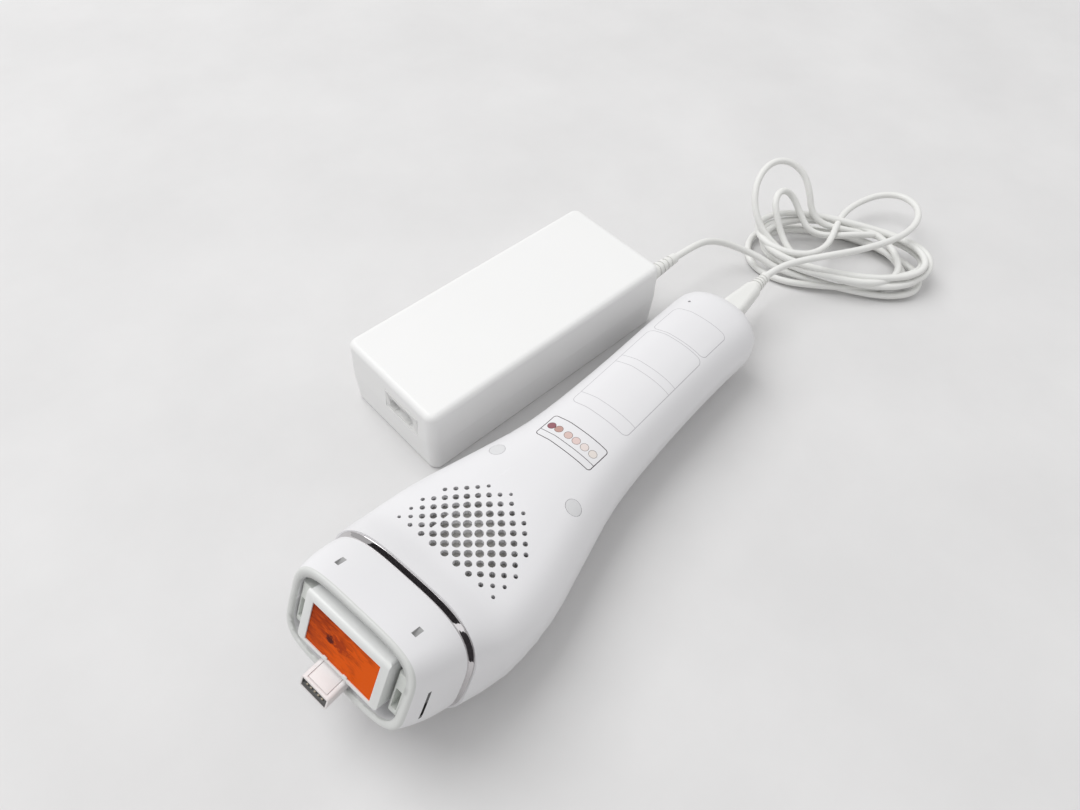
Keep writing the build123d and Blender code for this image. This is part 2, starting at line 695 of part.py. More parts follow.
for x in (14, adapter_length - 14):
    for y in (12, adapter_width - 12):
        bottom_case = bottom_case + cylinder_up(x, y, adapter_wall / 2, adapter_board_height, 3)
bezel_low = inlet_height - inlet_bezel_height / 2
bezel_high = inlet_height + inlet_bezel_height / 2
socket_back = inlet_depth + 2
socket_block = block(0.2, socket_back, inlet_side - inlet_bezel_width / 2, inlet_side + inlet_bezel_width / 2,
                     bezel_low, bezel_high)
top_case = top_case - block(-2, socket_back, inlet_side - inlet_bezel_width / 2 - seat_gap,
                            inlet_side + inlet_bezel_width / 2 + seat_gap,
                            adapter_parting - 1, bezel_high + seat_gap)
inlet_face = 0.6


def into_adapter(y, z, length, radius):
    """Cylinder going into the adapter from just outside its socket end."""
    return Pos(inlet_face + length / 2 - 2, y, z) * Rot(0, 90, 0) * Cylinder(radius, length)


mouth = block(-1, inlet_face + inlet_depth,
              inlet_side - inlet_pin_spacing / 2, inlet_side + inlet_pin_spacing / 2,
              inlet_height - inlet_lobe_radius * 0.8, inlet_height + inlet_lobe_radius * 0.8)
for side in (-1, 1):
    pin_y = inlet_side + side * inlet_pin_spacing / 2
    mouth = mouth + into_adapter(pin_y, inlet_height, inlet_depth + 2, inlet_lobe_radius)
mains_inlet = socket_block - mouth
inlet_pins = Part()
for side in (-1, 1):
    pin_y = inlet_side + side * inlet_pin_spacing / 2
    pin_end = inlet_face + inlet_depth
    inlet_pins += Pos(pin_end - inlet_pin_length / 2, pin_y, inlet_height) * Rot(0, 90, 0) * Cylinder(
        inlet_pin_radius, inlet_pin_length)

adapter_board_top = adapter_board_height + 1.6
adapter_board = block(8, adapter_length - 8, 5, adapter_width - 5, adapter_board_height, adapter_board_top)
core = block(66, 92, 18, 46, adapter_board_top, adapter_board_top + 20)
core_window = block(71, 87, 10, 50, adapter_board_top + 5, adapter_board_top + 15)
winding = block(68, 90, 22, 42, adapter_board_top + 1, adapter_board_top + 22)
adapter_transformer = core - core_window + winding
adapter_capacitors = Part()
for x, y, radius, height in ((48, 17, 8, 22), (48, 36, 8, 22), (108, 16, 5, 18), (108, 30, 5, 18),
                             (120, 44, 4, 14)):
    adapter_capacitors += cylinder_up(x, y, adapter_board_top, adapter_board_top + height, radius)
heat_sinks = Part()
heat_sinks += block(58, 61, 12, 50, adapter_board_top, adapter_board_top + 22)
heat_sinks += block(97, 100, 12, 50, adapter_board_top, adapter_board_top + 22)
choke_place = Pos(26, 24, adapter_board_top + 9) * Rot(90, 0, 0)
mains_choke = choke_place * Torus(6, 3)
outlet_hole_radius = relief_start_radius + 0.1
outlet_place = Pos(adapter_length, outlet_side, outlet_height) * Rot(0, 90, 0)
outlet_hole = outlet_place * Cylinder(outlet_hole_radius, 20)
top_case = top_case - outlet_hole

# ---------------------------------------------------------------- lead


def ribbed_relief(length, neck, start_radius):
    """Tapered sleeve along x from 0, with grooves, and a neck reaching back into its housing."""
    outline = [(0, 0), (0, start_radius), (length, relief_end_radius), (length, 0)]
    profile = make_face(Polyline(*outline, close=True))
    for groove in range(relief_grooves):
        x = length * (0.22 + 0.17 * groove)
        radius = start_radius + (relief_end_radius - start_radius) * x / length
        profile = profile - Pos(x + 0.5, radius + 0.1) * Rectangle(1.1, 1.6)
    sleeve = revolve(profile, Axis.X)
    if neck > 0:
        sleeve = sleeve + Pos(-neck / 2, 0, 0) * Rot(0, 90, 0) * Cylinder(start_radius, neck)
    return sleeve


relief_face = adapter_length - math.tan(math.radians(adapter_draft)) * (outlet_height - adapter_parting)
adapter_relief = ribbed_relief(adapter_length + adapter_relief_length - relief_face, adapter_wall + 1.5,
                               relief_start_radius)
flange_place = Pos(-adapter_wall - 1.2, 0, 0) * Rot(0, 90, 0)
relief_flange = flange_place * Cylinder(relief_start_radius + relief_lip, 1.4)
adapter_relief = Pos(relief_face, outlet_side, outlet_height) * (adapter_relief + relief_flange)

plug_face = bezel_face + plug_gap
collar_start = jack_end + 0.6
plug_end = plug_face + plug_length
plug_outlines = [
    (plug_face, 11.6, 10.6, 2.4),
    (plug_face + 9, 11.2, 10.2, 2.6),
    (plug_end, 8.6, 8.2, 3.4),
]
plug_sections = [
    Plane(origin=(x, 0, jack_height), x_dir=(0, 1, 0), z_dir=(1, 0, 0))
    * RectangleRounded(width, height, corner)
    for x, width, height, corner in plug_outlines
]
dc_plug = loft(plug_sections, ruled=True)
dc_plug = dc_plug + cylinder_back(collar_start, jack_height, plug_face + 1 - collar_start, plug_collar_radius)
plug_barrel = cylinder_back(collar_start - barrel_reach + 1, jack_height, barrel_reach - 1, barrel_radius)
plug_barrel = plug_barrel - cylinder_back(collar_start - barrel_reach, jack_height, barrel_reach + 2,
                                          barrel_bore_radius)
plug_relief = Pos(plug_end, 0, jack_height) * ribbed_relief(relief_length, 0, relief_start_radius - 0.2)

relief_tip = adapter_place * Pos(adapter_length + adapter_relief_length, outlet_side, outlet_height)
adapter_exit = relief_tip.position
exit_direction = (math.cos(math.radians(adapter_turn)), math.sin(math.radians(adapter_turn)))
plug_tip = plug_end + relief_length


def corner_radii(points):
    """Largest arc at each corner: 0.45 of its shorter run over the tangent of half its turn."""
    radii = []
    for before, corner, after in zip(points, points[1:], points[2:]):
        run_in = Vector(corner) - Vector(before)
        run_out = Vector(after) - Vector(corner)
        turn = math.radians(run_in.get_angle(run_out))
        radii.append(0.45 * min(run_in.length, run_out.length) / math.tan(turn / 2))
    return radii


def cord_tube(name, points):
    """Tube of straight runs and tangent arcs along a route; prints its radii and its volume check."""
    radii = corner_radii(points)
    route = FilletPolyline(*points, radius=radii)
    tube = sweep(Plane(origin=route @ 0, z_dir=route % 0) * Circle(cord_radius), path=route)
    expected = math.pi * cord_radius ** 2 * route.length
    print(name, "length", round(route.length, 1), "volume ratio", round(tube.volume / expected, 4),
          "radii", [round(radius, 1) for radius in radii])
    return tube


adapter_route = [
    (adapter_exit.X, adapter_exit.Y, adapter_exit.Z),
    (adapter_exit.X + 12 * exit_direction[0], adapter_exit.Y + 12 * exit_direction[1], 26.2),
    (269.0, 35.5, 23.0),
    (280.0, 31.0, 17.5),
    (288.5, 23.5, 12.0),
    (295.0, 13.5, 9.5),
    (301.0, 3.0, 8.5),
]
plug_route = [
    (plug_tip, 0, jack_height),
    (plug_tip + 9, -1.5, jack_height + 0.6),
    (291.0, -7.5, 21.4),
    (303.0, -16.5, 22.6),
    (317.0, -26.0, 22.8),
    (333.0, -34.0, 22.4),
    (350.0, -38.8, 21.2),
    (367.0, -38.6, 19.4),
    (381.5, -32.5, 17.2),
    (388.0, -21.5, 15.0),
    (383.0, -11.0, 13.2),
    (372.0, -5.0, 11.6),
    (359.5, -2.5, 10.2),
    (347.0, -3.0, 9.0),
]
tall_route = [
    (309.0, -1.0, 9.0),
    (304.5, 9.0, 11.0),
    (303.0, 19.5, 16.0),
    (305.5, 28.5, 23.0),
    (311.5, 35.0, 30.5),
    (320.5, 38.0, 36.5),
    (330.5, 36.5, 39.5),
    (337.5, 30.0, 38.5),
    (339.5, 21.5, 34.0),
    (337.0, 14.5, 27.0),
    (333.0, 9.5, 19.0),
    (330.5, 3.0, 12.0),
]
small_route = [
    (309.0, 12.0, 9.5),
    (312.0, 19.0, 15.5),
    (316.0, 24.5, 22.5),
    (321.0, 27.5, 28.5),
    (327.0, 25.5, 30.0),
    (329.0, 19.5, 26.5),
    (328.0, 13.5, 20.0),
    (326.0, 8.0, 13.0),
    (325.0, 1.5, 9.0),
]
cord_from_adapter = cord_tube("cord_from_adapter", adapter_route)
cord_to_plug = cord_tube("cord_to_plug", plug_route)
cord_tall_loop = cord_tube("cord_tall_loop", tall_route)
cord_small_loop = cord_tube("cord_small_loop", small_route)

hank_place = Pos(hank_at[0], hank_at[1], 0) * Rot(0, 0, hank_turn)
hank_sections = [
    Pos(0, 0, height) * RectangleRounded(2 * (hank_half_length - inset), 2 * (hank_half_width - inset),
                                         hank_half_width - inset - 4)
    for height, inset in ((0, 3.0), (hank_height * 0.35, 0), (hank_height * 0.75, 4.0), (hank_height, 12.0))
]
cord_hank = hank_place * loft(hank_sections, ruled=True)

handset_pieces = {
    "nose_shell": nose_shell, "window_frame": window_frame, "filter_glass": filter_glass,
    "reflector": reflector, "flash_lamp": flash_lamp, "lamp_electrodes": lamp_electrodes,
    "lamp_holders": lamp_holders, "pocket_latches": pocket_latches, "terminal_tongue": terminal_tongue,
    "terminal_contacts": terminal_contacts, "tongue_board": tongue_board, "chrome_ring": chrome_ring,
    "back_cover": back_cover, "front_cover": front_cover, "screw_caps": screw_caps,
    "case_screws": case_screws, "air_duct": air_duct, "fan_frame": fan_frame, "fan_rotor": fan_rotor,
    "main_board": main_board, "flash_capacitor": flash_capacitor, "charge_transformer": charge_transformer,
    "board_chips": board_chips, "dc_jack": dc_jack, "jack_pin": jack_pin, "jack_bezel": jack_bezel,
    "lamp_leads": lamp_leads, "flash_button": flash_button, "power_button": power_button,
    "button_board": button_board, "button_switches": button_switches,
    "flash_button_spring": flash_button_spring, "power_button_spring": power_button_spring,
    "level_lights": level_lights,
}
adapter_pieces = {
    "adapter_top_case": top_case, "adapter_bottom_case": bottom_case, "mains_inlet": mains_inlet,
    "inlet_pins": inlet_pins, "adapter_board": adapter_board, "adapter_transformer": adapter_transformer,
    "adapter_capacitors": adapter_capacitors, "heat_sinks": heat_sinks, "mains_choke": mains_choke,
    "adapter_strain_relief": adapter_relief,
}
lead_pieces = {
    "dc_plug": dc_plug, "plug_barrel": plug_barrel, "plug_strain_relief": plug_relief,
    "cord_from_adapter": cord_from_adapter, "cord_to_plug": cord_to_plug, "cord_tall_loop": cord_tall_loop,
    "cord_small_loop": cord_small_loop, "cord_hank": cord_hank,
}
for name, piece in adapter_pieces.items():
    handset_pieces[name] = adapter_place * piece

# The origin goes under the middle of the handset and the adapter, without the lead.
footprint = Compound(list(handset_pieces.values())).bounding_box()
to_origin = Pos(-footprint.center().X, -footprint.center().Y, 0)
print("moved by", -footprint.center().X, -footprint.center().Y, "lowest", footprint.min.Z,
      "size", footprint.size)
handset_pieces.update(lead_pieces)
for name, piece in handset_pieces.items():
    export_step(to_origin * piece, f"parts/{name}.step")
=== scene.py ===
import math

import bmesh
import bpy
from mathutils import Matrix, Vector
from mathutils.bvhtree import BVHTree
from mathutils.interpolate import poly_3d_calc


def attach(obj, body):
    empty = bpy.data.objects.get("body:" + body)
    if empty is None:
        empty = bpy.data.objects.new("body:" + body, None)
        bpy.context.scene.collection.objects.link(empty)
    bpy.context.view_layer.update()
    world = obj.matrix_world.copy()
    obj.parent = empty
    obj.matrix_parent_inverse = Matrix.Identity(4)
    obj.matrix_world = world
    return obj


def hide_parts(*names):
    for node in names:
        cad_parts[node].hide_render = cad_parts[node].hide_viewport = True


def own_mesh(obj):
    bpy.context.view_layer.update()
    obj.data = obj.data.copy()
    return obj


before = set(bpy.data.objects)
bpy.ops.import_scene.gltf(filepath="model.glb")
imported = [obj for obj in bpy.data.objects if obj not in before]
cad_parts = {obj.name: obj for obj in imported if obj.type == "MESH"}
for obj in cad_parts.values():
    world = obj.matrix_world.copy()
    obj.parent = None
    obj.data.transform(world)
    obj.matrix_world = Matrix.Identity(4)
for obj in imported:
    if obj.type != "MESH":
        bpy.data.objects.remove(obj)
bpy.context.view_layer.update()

# ---------------------------------------------------------------- camera, floor and lights
# The part lies on a plain pale table under soft window light. The camera stands past the nose,
# on the near side, and looks down along the handset.
camera_place = Vector((-0.1525, -0.1362, 0.2997))
camera_pitch = math.radians(52.42)
camera_roll = math.radians(-3.84)
ahead_flat = Vector((0.790, 0.613, 0.0)).normalized()
right_flat = Vector((0.613, -0.790, 0.0)).normalized()
look = ahead_flat * math.cos(camera_pitch) - Vector((0, 0, math.sin(camera_pitch)))
down = look.cross(right_flat)
right = right_flat * math.cos(camera_roll) + down * math.sin(camera_roll)
down = down * math.cos(camera_roll) - right_flat * math.sin(camera_roll)
camera_data = bpy.data.cameras.new("camera")
camera_data.lens = 27.03
camera_data.sensor_width = 36.0
camera_data.clip_start = 0.01
camera = bpy.data.objects.new("camera", camera_data)
bpy.context.scene.collection.objects.link(camera)
camera.matrix_world = Matrix((
    (right.x, -down.x, -look.x, camera_place.x),
    (right.y, -down.y, -look.y, camera_place.y),
    (right.z, -down.z, -look.z, camera_place.z),
    (0, 0, 0, 1),
))
bpy.context.scene.camera = camera
bpy.context.scene.view_settings.view_transform = "Standard"


class Paint:
    """A shader socket that takes part in sums, so that a pattern reads as an expression."""

    def __init__(self, tree, socket):
        self.tree = tree
        self.socket = socket

    def join(self, operation, first, second):
        return self.tree.node("ShaderNodeMath", {"operation": operation}, {0: first, 1: second})

    def __add__(self, other):
        return self.join("ADD", self, other)

    def __radd__(self, other):
        return self.join("ADD", other, self)

    def __sub__(self, other):
        return self.join("SUBTRACT", self, other)

    def __rsub__(self, other):
        return self.join("SUBTRACT", other, self)

    def __mul__(self, other):
        return self.join("MULTIPLY", self, other)

    def __rmul__(self, other):
        return self.join("MULTIPLY", other, self)

    def __lt__(self, other):
        return self.join("LESS_THAN", self, other)

    def __gt__(self, other):
        return self.join("GREATER_THAN", self, other)

    def __abs__(self):
        return self.join("ABSOLUTE", self, 0.0)

    def __pow__(self, other):
        return self.join("POWER", self, other)

    def at_least(self, other):
        return self.join("MAXIMUM", self, other)

    def at_most(self, other):
        return self.join("MINIMUM", self, other)


class Finish:
    """A material whose nodes are added one by one, each given its settings and then its sockets."""

    def __init__(self, name):
        self.material = bpy.data.materials.new(name)
        self.material.use_nodes = True
        self.nodes = self.material.node_tree.nodes
        self.links = self.material.node_tree.links
        self.shader = next(n for n in self.nodes if n.type == "BSDF_PRINCIPLED")

    def fill(self, node, sockets):
        for name, value in sockets.items():
            if isinstance(value, Paint):
                self.links.new(value.socket, node.inputs[name])
            else:
                node.inputs[name].default_value = value

    def node(self, kind, settings=None, sockets=None, out=0):
        new = self.nodes.new(kind)
        for name, value in (settings or {}).items():
            if name == "stops":
                for stop, (position, colour) in zip(new.color_ramp.elements, value):
                    stop.position = position
                    stop.color = colour
            else:
                setattr(new, name, value)
        self.fill(new, sockets or {})
        return Paint(self, new.outputs[out])

    def places(self):
        return self.node("ShaderNodeTexCoord", out="Object")

    def axes(self, vector):
        split = self.node("ShaderNodeSeparateXYZ", {}, {"Vector": vector})
        return [Paint(self, part) for part in split.socket.node.outputs]

    def along(self, direction):
        return self.node("ShaderNodeVectorMath", {"operation": "DOT_PRODUCT"},
                         {0: self.places(), 1: tuple(direction)}, out=1)

    def colour(self):
        return Paint(self, self.shader.inputs["Base Color"].links[0].from_socket)

    def noise(self, scale, detail=3.0, rough=0.5):
        return self.node("ShaderNodeTexNoise", {}, {"Vector": self.places(), "Scale": scale,
                                                    "Detail": detail, "Roughness": rough})

    def mix(self, factor, first, second):
        return self.node("ShaderNodeMix", {"data_type": "RGBA"}, {0: factor, 6: first, 7: second}, out=2)

    def bump(self, height, distance, strength=1.0):
        return self.node("ShaderNodeBump", {},
                         {"Height": height, "Distance": distance, "Strength": strength})

    def shade(self, **sockets):
        self.fill(self.shader, {name.replace("_", " "): value for name, value in sockets.items()})
        return self.material


def nothing_selected():
    for thing in bpy.context.selected_objects:
        thing.select_set(False)


def only(piece):
    nothing_selected()
    piece.select_set(True)
    bpy.context.view_layer.objects.active = piece


table_dim = (0.675, 0.67, 0.67, 1)
table_bright = (0.725, 0.72, 0.72, 1)
table_finish = Finish("pale_table")
worn = table_finish.noise(9.0, 6.0, 0.6)
table_stops = [(0.35, table_dim), (0.70, table_bright)]
cloud = table_finish.node("ShaderNodeValToRGB", {"stops": table_stops}, {"Fac": worn})
table_finish.shade(Base_Color=cloud, Roughness=0.75)
nothing_selected()
bpy.ops.mesh.primitive_plane_add(size=6, location=(0.1, 0.1, 0))
table = bpy.context.object
table.name = "table"
table.data.materials.append(table_finish.material)


def soft_light(name, spot, aim, size, watts):
    """Square white softbox that stands at one spot and points at another."""
    data = bpy.data.lights.new(name, "AREA")
    data.size = size
    data.energy = watts
    lamp = bpy.data.objects.new(name, data)
    bpy.context.scene.collection.objects.link(lamp)
    lamp.location = spot
    lamp.rotation_euler = (Vector(aim) - Vector(spot)).to_track_quat("-Z", "Y").to_euler()


soft_light("window_light", (-0.32, 1.65, 2.8), aim=(0.07, 0.0, 0.0), size=2.6, watts=72.0)
soft_light("room_fill", (0.9, -0.8, 1.6), aim=(0.0, 0.0, 0.0), size=1.2, watts=2.5)

# Three dark cards, out of view, stand for the dim side of the room. They face the plated band
# and only reflections find them, so that they shade nothing.
card_black = Finish("card_black")
card_black.shade(Base_Color=(0.030, 0.026, 0.029, 1), Roughness=0.9)
band_corner = Vector((-0.087, -0.045, 0.052))
dark_cards = (
    ("dark_card", (0.42, 0.17, 0.87), 1.06),
    ("dark_card_near", (0.15, -0.66, 0.36), 0.62),
    ("dark_card_low", (-0.07, -0.155, 0.045), 0.09),
)
for card_name, card_place, card_size in dark_cards:
    facing = band_corner - Vector(card_place)
    nothing_selected()
    bpy.ops.mesh.primitive_plane_add(size=card_size, location=card_place,
                                     rotation=facing.to_track_quat("Z", "Y").to_euler())
    card = bpy.context.object
    card.name = card_name
    card.data.materials.append(card_black.material)
    card.visible_camera = False
    card.visible_diffuse = False
    card.visible_shadow = False
room_brightness = 0.57
world = bpy.data.worlds.new("room")
bpy.context.scene.world = world
world.use_nodes = True
world.node_tree.nodes["Background"].inputs["Color"].default_value = (1, 1, 1, 1)
world.node_tree.nodes["Background"].inputs["Strength"].default_value = room_brightness

# ---------------------------------------------------------------- casing halves
# Two injection moulded halves of polished white ABS that screw together at the neck. The back
# one has the fan's vents and thin printed frames, one of them round six skin tone spots.
shift = Vector((-113.843, -34.494, 0.0))
white_shade = (0.79, 0.785, 0.80)
casing_roughness = 0.34
ink_dark = (0.075, 0.062, 0.070, 1)
ink_pale = (0.50, 0.49, 0.51, 1)
# Thin printed frames: low, high, half width, corner and line, all in millimetres.
upper_frame = (131.0, 186.0, 14.0, 2.6, 0.30)
lower_frame = (187.4, 206.5, 13.6, 2.6, 0.30)
frame_bars = (137.6, 161.0, 165.6)
bar_reach = 14.0
bar_half_line = 0.13
chart_frame = (108.0, 120.5, 13.5, 1.3, 0.36)
chart_bar = 111.2
chart_bar_reach = 13.4
chart_bar_half_line = 0.14
print_above = 0.030
# Skin tone spots: place across the handle and colour.
tone_spots = [
    (10.8, (0.30, 0.115, 0.135, 1)), (7.2, (0.52, 0.32, 0.28, 1)), (2.4, (0.68, 0.51, 0.47, 1)),
    (-1.6, (0.74, 0.58, 0.55, 1)), (-5.8, (0.78, 0.69, 0.66, 1)), (-10.0, (0.77, 0.71, 0.67, 1)),
]
spots_at = 114.9
spot_radius = 1.62
outline_radius = 1.70
outline_half_line = 0.12
outline_darker = 0.42
# Sections along the wand: place, height of the middle, half width, half height, lean, squareness.
casing_stations = [
    (20.34, 33.42, 34.6, 23.5, 25, 3.3), (37.0, 25.4, 38.4, 22.2, 17, 2.9), (60.0, 22.3, 37.5, 22.0, 7, 2.6),
    (85.0, 21.7, 31.8, 21.4, 2, 2.4), (115.0, 21.4, 25.1, 19.6, 0, 2.3), (155.0, 21.2, 22.2, 19.4, 0, 2.3),
    (195.0, 20.9, 21.7, 19.0, 0, 2.3), (218.5, 18.7, 22.0, 18.5, 0, 2.3),
]


def place(x, y, z):
    """Point given in millimetres from below the nose face, in the frame's metres."""
    return (Vector((x, y, z)) + shift) / 1000


def hoop(x, z, half_width, half_height, lean, square, count=96):
    """Closed ring of points round the wand, on a plane that leans back."""
    turned = math.radians(lean)
    points = []
    for step in range(count):
        angle = 2 * math.pi * step / count
        reach = abs(math.cos(angle) / half_width) ** square + abs(math.sin(angle) / half_height) ** square
        across = math.cos(angle) / reach ** (1 / square)
        up = math.sin(angle) / reach ** (1 / square)
        points.append(place(x + up * math.sin(turned), across, z + up * math.cos(turned)))
    return points


def between(stations, span, share):
    """Section a share of the way along a span, on a cubic through all the stations."""
    before, after = stations[span], stations[span + 1]
    first, last = stations[max(span - 1, 0)], stations[min(span + 2, len(stations) - 1)]
    width = after[0] - before[0]
    section = [before[0] + share * width]
    for a, b, c, d in zip(first[1:], before[1:], after[1:], last[1:]):
        leaving, coming = (c - a) / (after[0] - first[0]), (d - b) / (last[0] - before[0])
        section.append((2 * share ** 3 - 3 * share ** 2 + 1) * b + (3 * share ** 2 - 2 * share ** 3) * c
                       + width * ((share ** 3 - 2 * share ** 2 + share) * leaving
                                  + (share ** 3 - share ** 2) * coming))
    return section


def skin(rings, closed=True):
    """Sheet of faces through rings of points, its faces outwards when the rings go towards the tail."""
    sheet = bmesh.new()
    rows = [[sheet.verts.new(point) for point in ring] for ring in rings]
    for first, second in zip(rows, rows[1:]):
        for one in range(len(first) if closed else len(first) - 1):
            two = (one + 1) % len(first)
            sheet.faces.new((first[one], first[two], second[two], second[one]))
    sheet.normal_update()
    sheet.faces.ensure_lookup_table()
    return sheet


def even_out(piece, sheet, reach=0.0007, likeness=0.93):
    """Give faces that lie on a sheet the sheet's own smooth normals, so that holes leave no marks."""
    tree = BVHTree.FromBMesh(sheet)
    mesh = piece.data
    normals = [corner.vector.copy() for corner in mesh.corner_normals]
    for face in mesh.polygons:
        normal, gap = tree.find_nearest(face.center)[1::2]
        if gap > reach or normal.dot(face.normal) < likeness:
            continue
        for loop in face.loop_indices:
            spot, index = tree.find_nearest(mesh.vertices[mesh.loops[loop].vertex_index].co)[::2]
            near = sheet.faces[index].verts
            weights = poly_3d_calc([vert.co for vert in near], spot)
            blend = sum((vert.normal * weight for vert, weight in zip(near, weights)), Vector())
            normals[loop] = blend.normalized()
    mesh.normals_split_custom_set(normals)


def smooth_copy(node, name, angle=32.0):
    """Copy of a CAD node with its loose triangles merged and its gentle edges smoothed."""
    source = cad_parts[node]
    piece = bpy.data.objects.new(name, source.data.copy())
    bpy.context.scene.collection.objects.link(piece)
    piece.data.materials.clear()
    only(piece)
    bpy.ops.object.mode_set(mode="EDIT")
    bpy.ops.mesh.select_all(action="SELECT")
    bpy.ops.mesh.remove_doubles(threshold=0.000002)
    bpy.ops.object.mode_set(mode="OBJECT")
    bpy.ops.object.shade_smooth_by_angle(angle=math.radians(angle))
    return piece


def wear(piece, finish, body, slot, *nodes):
    """Give a piece its finish and put it on its body, in the place of CAD nodes where it has any."""
    piece.data.materials.append(finish)
    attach(piece, body)
    if nodes:
        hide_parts(*nodes)
    return piece


def moulded(name, colour, roughness, peel=0.00002, grain=900.0):
    """Moulded plastic: even colour, tiny changes in gloss and a faint orange peel."""
    finish = Finish(name)
    patch = finish.noise(38.0, 4.0)
    shade = finish.mix(patch, [c * 0.985 for c in colour] + [1], list(colour) + [1])
    finish.shade(Base_Color=shade, Roughness=patch * 0.06 + roughness, Coat_Weight=0.12,
                 Normal=finish.bump(finish.noise(grain, 2.0), peel, 0.35))
    return finish


def printed_frame(x, y, low, high, half, corner, line):
    """Mask of a thin printed outline with rounded corners, from low to high along the handle."""
    over_x = abs(x - (low + high) / 2) - ((high - low) / 2 - corner)
    over_y = abs(y) - (half - corner)
    rounded = (over_x.at_least(0.0) ** 2.0 + over_y.at_least(0.0) ** 2.0) ** 0.5
    outside = rounded + over_x.at_least(over_y).at_most(0.0) - corner
    return abs(outside) < line / 2


back_white = moulded("white_casing_printed", white_shade, casing_roughness)
frame_x, frame_y, frame_z = back_white.axes(back_white.places())
x_along = frame_x * 1000.0 - shift.x
y_across = frame_y * 1000.0 - shift.y
on_top = frame_z > print_above
pale_print = printed_frame(x_along, y_across, *upper_frame).at_least(
    printed_frame(x_along, y_across, *lower_frame))
for bar in frame_bars:
    pale_print = pale_print.at_least((abs(x_along - bar) < bar_half_line) * (abs(y_across) < bar_reach))
chart_print = printed_frame(x_along, y_across, *chart_frame).at_least(
    (abs(x_along - chart_bar) < chart_bar_half_line) * (abs(y_across) < chart_bar_reach))
printed = back_white.mix(pale_print * on_top, back_white.colour(), ink_pale)
for spot_at, spot_shade in tone_spots:
    away = ((x_along - spots_at) ** 2.0 + (y_across - spot_at) ** 2.0) ** 0.5
    outline_shade = [c * outline_darker for c in spot_shade[:3]] + [1]
    printed = back_white.mix((away < spot_radius) * on_top, printed, spot_shade)
    outline = (abs(away - outline_radius) < outline_half_line) * on_top
    printed = back_white.mix(outline, printed, outline_shade)
back_white.shade(Base_Color=back_white.mix(chart_print * on_top, printed, ink_dark))
rings_per_span = 8
casing_rings = [hoop(*between(casing_stations, span, step / rings_per_span))
                for span in range(len(casing_stations) - 1) for step in range(rings_per_span)]
tail_end = 230.5
tail_round = 12
tail_pinch = 0.42
tail_z, tail_half_width, tail_half_height, tail_lean, tail_square = casing_stations[-1][1:]
for turn in range(0, 91, 9):
    arc = math.radians(turn)
    shrink = 1 - tail_pinch * (1 - math.cos(arc))
    casing_rings.append(hoop(tail_end - tail_round * (1 - math.sin(arc)), tail_z, tail_half_width * shrink,
                             tail_half_height * shrink, tail_lean, tail_square))
casing_skin = skin(casing_rings)
casing_back = smooth_copy("back_cover", "casing_back")
even_out(casing_back, casing_skin)
wear(casing_back, back_white.material, "handset", "white_shell", "back_cover")
white_casing = moulded("white_casing", white_shade, casing_roughness).material
casing_front = smooth_copy("front_cover", "casing_front")
even_out(casing_front, casing_skin)
wear(casing_front, white_casing, "handset", "white_shell", "front_cover")
cap_plastic = moulded("cap_plastic", (0.69, 0.69, 0.70), 0.42).material
caps = smooth_copy("screw_caps", "screw_cap_pair")
even_out(caps, casing_skin)
wear(caps, cap_plastic, "handset", "white_shell", "screw_caps")

# ---------------------------------------------------------------- dust screen
# A thin grey gauze of woven polyester, heat staked under the vents so that hair and dust stay
# out of the fan. It follows the inside of the back half.
thread_scale = 420.0
screen_inset = 3.1
screen_thickness = 0.0003
screen_spread = slice(11, 38)
screen_grey = Finish("screen_gauze")
weave = screen_grey.node("ShaderNodeTexWave", {"wave_type": "BANDS", "bands_direction": "X"},
                         {"Vector": screen_grey.places(), "Scale": thread_scale})
weft = screen_grey.node("ShaderNodeTexWave", {"wave_type": "BANDS", "bands_direction": "Y"},
                        {"Vector": screen_grey.places(), "Scale": thread_scale})
threads = screen_grey.mix(weave * weft, (0.55, 0.54, 0.515, 1), (0.84, 0.83, 0.80, 1))
screen_grey.shade(Base_Color=threads, Roughness=0.8, Normal=screen_grey.bump(weave * weft, 0.0001, 0.5))
screen_stations = [between(casing_stations, 0, 0.85)]
screen_stations += [between(casing_stations, 1, 0.15 * step) for step in range(7)]
screen_stations += [between(casing_stations, 2, 0.16 * step) for step in range(6)]
screen_rows = []
for x, z, half_width, half_height, lean, square in screen_stations:
    ring = hoop(x, z, half_width - screen_inset, half_height - screen_inset, lean, square)
    screen_rows.append(ring[screen_spread])


def piece_from(sheet, name):
    """Object that has a sheet of faces for its mesh."""
    mesh = bpy.data.meshes.new(name)
    sheet.to_mesh(mesh)
    piece = bpy.data.objects.new(name, mesh)
    bpy.context.scene.collection.objects.link(piece)
    return piece


screen = piece_from(skin(screen_rows, closed=False), "vent_screen")
only(screen)
thick = screen.modifiers.new("thick", "SOLIDIFY")
thick.thickness = screen_thickness
bpy.ops.object.modifier_apply(modifier="thick")
bpy.ops.object.shade_smooth_by_angle(angle=math.radians(40))
wear(screen, screen_grey.material, "handset", "grey_plastic")

